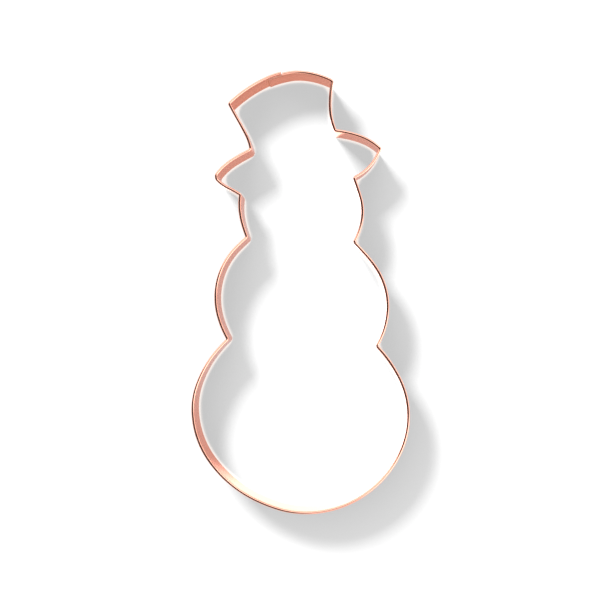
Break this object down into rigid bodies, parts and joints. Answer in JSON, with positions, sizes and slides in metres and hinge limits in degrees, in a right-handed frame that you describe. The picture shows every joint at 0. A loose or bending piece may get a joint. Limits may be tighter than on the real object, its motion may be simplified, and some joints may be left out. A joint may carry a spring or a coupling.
{
  "type": "cookie cutter",
  "caption": "Outline cutter for dough, a hemmed metal strip bent on edge into a snowman in a tall hat, open top and bottom.",
  "frame": {"origin": "middle of the cutter's box at the level of its cutting edge", "axes": "+Z from the cutting edge up to the hemmed edge, +Y from the snowman's belly to the hat, +X to the snowman's right side as seen from above"},
  "size_m": [0.0936, 0.19, 0.0222],
  "materials": {
    "copper": "bright rolled copper strip with fine lengthwise grain",
    "solder": "dull smooth tin solder"
  },
  "bodies": {
    "root": {"band": "copper", "lap_solder": "solder"}
  },
  "joints": []
}
